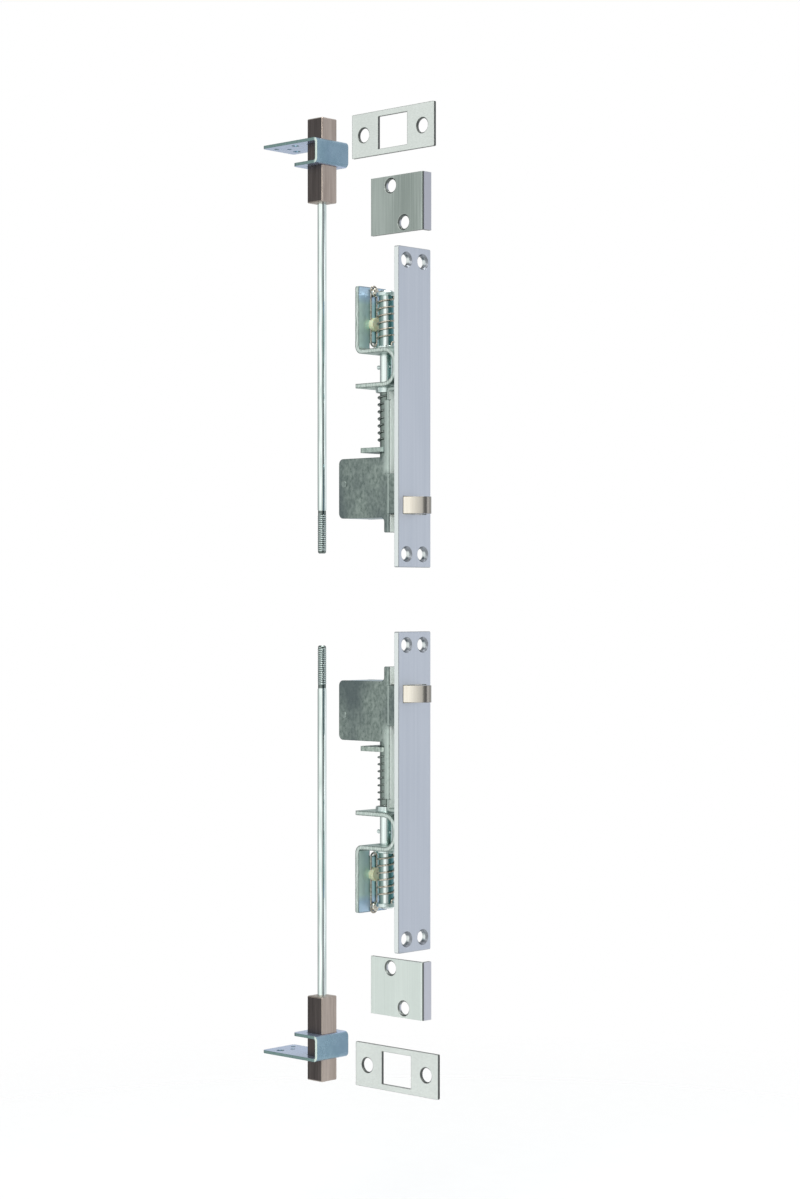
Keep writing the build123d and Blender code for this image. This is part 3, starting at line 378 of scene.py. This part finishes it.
class Bright(Finish):
    """Bright plated bar or wire with faint drawing lines and a few dark spots."""

    def __init__(self, name, dark, light, lines=DRAWN_UPRIGHT):
        super().__init__(name)
        self.drawn = self.noise(lines, detail=3.0, roughness=0.6)
        self.spots = self.noise((420, 420, 420), detail=3.0)
        self.colour = self.mix(self.spread(self.drawn, 0.38, 0.62), dark, light)
        self.cover(self.spread(self.spots, 0.62, 0.80, 0.0, 0.25), dark)

    def polished(self, grain=(0.10, 0.17)):
        """Adds the gloss and the bump, and gives the material."""
        gloss = self.spread(self.plus(self.drawn, self.spots), 0.7, 1.3, *grain)
        return self.finish(gloss, self.drawn, depth=0.0006 * MM)


def rod_bar(name):
    """Bright plated rod with painted shade between the ridges of its thread."""
    kit = Bright(name, srgb(200, 213, 209), srgb(240, 248, 245))
    # Painted shade in the thread's roots along the turned-down end.
    kit.cover(kit.away(*THREAD_SHADE_AWAY), srgb(112, 122, 118))
    return kit.polished((0.07, 0.12))


def bar_with_painted_light(name, sides, front, reach=(0.78, 0.90), painted_shade_away=None):
    """Bright plated tube or shaft with painted light and shade on its sides and its front, and
    painted shade over part of its length where a range is given.
    """
    kit = Bright(name, srgb(206, 216, 214), srgb(236, 242, 240))
    # Painted light and shade: the sides and the front take colours that stand in for a cylinder's
    # dark edges and highlight.
    kit.cover(kit.facing("Y", 0.88, 0.97), sides)
    kit.cover(kit.facing("X", *reach), front)
    # Painted shade where the shaft sits inside its spring.
    if painted_shade_away is not None:
        kit.cover(kit.away(*painted_shade_away), srgb(118, 130, 125))
    return kit.polished()


def nickel_bar(name):
    """Dull nickel bar, brushed along its length, with painted shade making two faces darker than
    the other two.
    """
    kit = Finish(name)
    fine = kit.noise((2300, 2300, 30), detail=4.0, roughness=0.7)
    slow = kit.noise((260, 260, 22), detail=3.0)
    tone = kit.spread(kit.plus(kit.times(fine, 0.6), kit.times(slow, 0.4)), *TWO_TONES)
    pale = kit.mix(tone, srgb(156, 143, 134), srgb(194, 182, 172))
    # Painted shade: the faces square to Y are darker for how the light falls on them.
    painted_shade_faces = kit.mix(tone, srgb(66, 61, 60), srgb(98, 91, 89))
    kit.colour = kit.mix(kit.facing("Y"), pale, painted_shade_faces)
    # Pale edges: rubbing and a painted highlight on the arrises.
    edge_wear_and_shading_mask, rounded = kit.edge(0.3 * MM)
    kit.cover(kit.times(edge_wear_and_shading_mask, 0.5), srgb(186, 177, 168))
    return kit.finish(kit.spread(tone, 0.0, 1.0, 0.30, 0.44), fine, 0.006 * MM, rounded)


def moulded_nylon(name):
    """Off-white nylon with a fine moulded grain and a slightly yellow drift."""
    kit = Finish(name, metallic=0.0)
    kit.shader.inputs["Subsurface Weight"].default_value = 0.15
    kit.shader.inputs["Subsurface Scale"].default_value = 1.0 * MM
    grain = kit.noise((2400, 2400, 2400), detail=4.0)
    drift = kit.noise((380, 380, 380), detail=2.0)
    kit.colour = kit.mix(kit.spread(drift, 0.35, 0.65), srgb(196, 202, 162), srgb(218, 222, 192))
    kit.cover(kit.spread(grain, 0.5, 0.8, 0.0, 0.3), srgb(230, 232, 212))
    return kit.finish(kit.spread(grain, 0.3, 0.7, 0.35, 0.55), grain, 0.012 * MM)


BAR = Bright("bright_zinc", srgb(176, 192, 190), srgb(218, 229, 226)).polished()
WIRE = Bright(
    "spring_wire", srgb(146, 140, 128), srgb(196, 190, 178), WIRE_GRAIN
).polished((0.18, 0.30))
# Painted shade: the return spring's wire is darker because its coils sit in shade.
SHADE_PAINTED_WIRE = Bright(
    "shade_painted_wire", srgb(84, 92, 89), srgb(140, 148, 144), WIRE_GRAIN
).polished((0.20, 0.32))
STUD = Bright("stud_brass", srgb(168, 164, 150), srgb(226, 222, 210), WIRE_GRAIN).polished()

# By the name of a node, or by that name without its set. Every other node is of BAR.
FINISHES = {
    # The worn colours are rubbed edges and painted edge shading: dark ones paint shade lines, pale
    # ones paint highlights on the arrises.
    "face_plate": brushed(
        "plate_satin", srgb(191, 198, 208), srgb(201, 207, 216),
        lines=(700, 700, 7), grain=(0.34, 0.42), edge_wear_and_shading=srgb(196, 202, 206),
        cut_and_shade=srgb(152, 157, 163), side=("Y", srgb(240, 245, 243)),
        back=(PLATE_BACK_X, srgb(238, 245, 241)), depth=0.001 * MM,
    ),
    "trigger": brushed(
        "satin_nickel", srgb(218, 211, 198), srgb(230, 225, 214),
        lines=(900, 900, 30), grain=(0.22, 0.28), edge_wear_and_shading=srgb(84, 82, 79),
        nose_shade=(NOSE_SHADE_X, srgb(158, 154, 147)), depth=0.0004 * MM, edge_radius=0.3 * MM,
    ),
    "strike_plate": brushed(
        "strike_satin", srgb(216, 221, 217), srgb(232, 237, 233),
        lines=(700, 900, 1500), grain=(0.30, 0.40), edge_wear_and_shading=srgb(96, 100, 97),
        faces="Y", cut_and_shade=srgb(66, 69, 67), depth=0.002 * MM, edge_radius=0.5 * MM,
    ),
    "top_rub_plate": brushed(
        "rub_satin", srgb(138, 148, 143), srgb(182, 191, 186),
        lines=(3200, 3200, 20), grain=(0.30, 0.42), edge_wear_and_shading=srgb(226, 228, 224),
        faces="Y", cut_and_shade=srgb(80, 86, 84), side=("X", srgb(186, 187, 198)),
        depth=0.006 * MM, edge_radius=0.4 * MM,
    ),
    "bottom_rub_plate": brushed(
        "rub_satin_pale", srgb(212, 221, 216), srgb(226, 234, 229),
        lines=(2600, 2600, 14), grain=(0.30, 0.42), edge_wear_and_shading=srgb(238, 239, 235),
        faces="Y", cut_and_shade=srgb(96, 102, 100), side=("X", srgb(196, 197, 208)),
        depth=0.001 * MM, edge_radius=0.4 * MM,
    ),
    "case_body": case_sheet("zinc_sheet"),
    "case_cover": mottled(
        "zinc_cover", srgb(104, 122, 124), srgb(158, 176, 180), srgb(126, 160, 186),
        edge_wear_and_shading=srgb(204, 222, 220), patch=380,
    ),
    "lift_plate": mottled(
        "zinc_small", srgb(128, 142, 135), srgb(196, 208, 200), srgb(146, 170, 168),
        edge_wear_and_shading=srgb(96, 108, 103), patch=420,
    ),
    "lever_pin": mottled(
        "zinc_pin", srgb(108, 119, 115), srgb(152, 163, 158), srgb(124, 138, 136),
        edge_wear_and_shading=srgb(176, 188, 182),
    ),
    "lever": mottled(
        "zinc_lever", srgb(120, 128, 122), srgb(168, 176, 170), srgb(146, 158, 154),
        edge_wear_and_shading=srgb(200, 210, 204),
    ),
    "guide_strap": passivated_strap("zinc_strap"),
    "bolt_guide": guide_strip("blue_zinc"),
    "bolt_head": nickel_bar("dull_nickel"),
    "bolt_rod": rod_bar("rod_bar"),
    # The carrier's sides and front are painted shade; the shaft's sides are a painted highlight and
    # its front painted shade.
    "rod_carrier": bar_with_painted_light("carrier_zinc_painted_shade", srgb(124, 146, 142), srgb(92, 136, 140)),
    "lift_shaft": bar_with_painted_light(
        "shaft_zinc", srgb(228, 238, 235), srgb(176, 198, 191), reach=(0.90, 0.98),
        painted_shade_away=SHAFT_SHADE_IN_SPRING_AWAY,
    ),
    "nylon_pad": moulded_nylon("nylon"),
    "clip_stud": STUD,
    "return_spring": SHADE_PAINTED_WIRE,
    "override_spring": WIRE,
    "wire_clip": WIRE,
}


def paint_frame():
    """Gives every node of the frame its finish."""
    for name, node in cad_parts.items():
        kind = name.split("_", 1)[1]
        material = FINISHES.get(name) or FINISHES.get(kind) or BAR
        node.data.materials.clear()
        node.data.materials.append(material)


def mesh_piece(name, vertices, faces, material):
    """Object of a mesh given by its vertices and faces."""
    mesh = bpy.data.meshes.new(name)
    mesh.from_pydata(vertices, [], faces)
    mesh.validate()
    shape = bmesh.new()
    shape.from_mesh(mesh)
    bmesh.ops.recalc_face_normals(shape, faces=shape.faces)
    shape.to_mesh(mesh)
    shape.free()
    mesh.materials.append(material)
    piece = bpy.data.objects.new(name, mesh)
    bpy.context.scene.collection.objects.link(piece)
    return piece


def rod_thread(set_name):
    """Helical ridge round the turned-down end of a bolt rod, run out at both ends."""
    low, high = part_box(f"{set_name}_bolt_rod")
    axis_x = (low.x + high.x) / 2
    end_z, inward = (low.z, 1) if set_name == "top" else (high.z, -1)
    root = TURNED_DOWN_RADIUS - THREAD_ROOT_SINK
    turns = int((TURNED_DOWN_LENGTH - 2 * THREAD_START) / THREAD_PITCH)
    count = turns * THREAD_STEPS
    vertices = []
    for step in range(count + 1):
        turn = step / THREAD_STEPS
        angle = 2 * math.pi * turn
        rise = THREAD_START + THREAD_PITCH * turn
        height = max(THREAD_LEAST_HEIGHT, min(1.0, turn, turns - turn))
        top = root + (THREAD_TOP_RADIUS - root) * height
        for radius, shift in (
            (root, -THREAD_ROOT_WIDTH / 2),
            (top, -THREAD_TOP_WIDTH / 2),
            (top, THREAD_TOP_WIDTH / 2),
            (root, THREAD_ROOT_WIDTH / 2),
        ):
            x = axis_x + radius * math.cos(angle)
            y = radius * math.sin(angle) * inward
            vertices.append((x, y, end_z + inward * (rise + shift)))
    faces = [(3, 2, 1, 0), tuple(4 * count + corner for corner in range(4))]
    for first in range(0, 4 * count, 4):
        for corner in range(4):
            following = (corner + 1) % 4
            faces.append(
                (first + corner, first + following, first + 4 + following, first + 4 + corner)
            )
    piece = mesh_piece(f"{set_name}_rod_thread", vertices, faces, BAR)
    piece.data.shade_smooth()
    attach(piece, f"{set_name}_bolt_group")


def closing_spring(set_name):
    """The return spring's own shape in its node's place, as an object of its own on the frame."""
    name = f"{set_name}_return_spring"
    piece = bpy.data.objects.new(f"{name}_coils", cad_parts[name].data.copy())
    bpy.context.scene.collection.objects.link(piece)
    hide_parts(name)
    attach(piece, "frame")
    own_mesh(piece)


def aim(thing, place):
    thing.location = place
    view = Vector(CAMERA_TARGET) - Vector(place)
    thing.rotation_euler = view.to_track_quat("-Z", "Y").to_euler()
    bpy.context.scene.collection.objects.link(thing)


def set_camera():
    """Level camera of the photograph."""
    data = bpy.data.cameras.new("camera")
    data.sensor_fit = "VERTICAL"
    data.sensor_height = SENSOR_HEIGHT_MM
    data.lens = SENSOR_HEIGHT_MM * FOCAL_PX / IMAGE_HEIGHT_PX
    camera = bpy.data.objects.new("camera", data)
    aim(camera, CAMERA_PLACE)
    bpy.context.scene.camera = camera


def set_world():
    """White background for the camera, and the studio's light for everything else."""
    world = bpy.data.worlds.new("studio")
    bpy.context.scene.world = world
    world.use_nodes = True
    tree = world.node_tree
    place = add_node(tree, "ShaderNodeTexCoord").outputs["Generated"]
    around = add_node(tree, "ShaderNodeTexGradient", {"Vector": place}, gradient_type="RADIAL")
    ramp = add_node(tree, "ShaderNodeValToRGB", {"Fac": around.outputs["Fac"]})
    elements = ramp.color_ramp.elements
    for element, (bearing, colour) in zip(elements, (STUDIO[0], STUDIO[-1])):
        element.position = bearing / 360 + 0.5
        element.color = (*colour, 1)
    for bearing, colour in STUDIO[1:-1]:
        elements.new(bearing / 360 + 0.5).color = (*colour, 1)

    rays = add_node(tree, "ShaderNodeLightPath").outputs
    seen = add_node(
        tree, "ShaderNodeMath",
        {0: rays["Is Glossy Ray"], 1: BACKDROP_IN_GLOSS, 2: rays["Is Camera Ray"]},
        operation="MULTIPLY_ADD",
    )
    share = add_node(
        tree, "ShaderNodeMath", {0: seen.outputs[0], 1: rays["Is Transmission Ray"]},
        operation="ADD",
    )
    backdrop = add_node(
        tree, "ShaderNodeMix",
        {"Factor": share.outputs[0], MIX_FIRST: ramp.outputs["Color"], MIX_SECOND: (1, 1, 1, 1)},
        data_type="RGBA",
    )
    tree.links.new(backdrop.outputs[MIX_RESULT], tree.nodes["Background"].inputs["Color"])


def set_floor():
    kit = Finish("floor_paper", metallic=0.0)
    speck = kit.noise((90, 90, 90), detail=4.0)
    kit.colour = kit.mix(speck, (0.90, 0.90, 0.90, 1), (0.93, 0.93, 0.93, 1))
    kit.finish(kit.spread(speck, 0.0, 1.0, 0.7, 0.9))
    distance = kit.add("ShaderNodeVectorMath", {0: kit.place}, operation="LENGTH")
    fade = kit.spread(distance.outputs["Value"], *FLOOR_FADE)
    clear = kit.add("ShaderNodeBsdfTransparent").outputs["BSDF"]
    faded = kit.add("ShaderNodeMixShader", {0: fade, 1: kit.shader.outputs["BSDF"], 2: clear})
    kit.tree.links.new(faded.outputs[0], kit.tree.nodes["Material Output"].inputs["Surface"])
    rim = []
    for side in range(FLOOR_SIDES):
        angle = 2 * math.pi * side / FLOOR_SIDES
        rim.append((FLOOR_RADIUS * math.cos(angle), FLOOR_RADIUS * math.sin(angle), FLOOR_Z))
    floor = mesh_piece("floor", rim, [tuple(range(FLOOR_SIDES))], kit.material)


def set_lamps():
    """Soft square lamps."""
    for name, place, side, power, colour in LAMPS:
        data = bpy.data.lights.new(name, "AREA")
        data.size = side
        data.energy = power
        data.color = colour
        aim(bpy.data.objects.new(name, data), place)


paint_frame()
for set_name in ("top", "bottom"):
    rod_thread(set_name)
    closing_spring(set_name)
set_camera()
set_world()
set_floor()
set_lamps()
bpy.context.scene.view_settings.view_transform = "Standard"
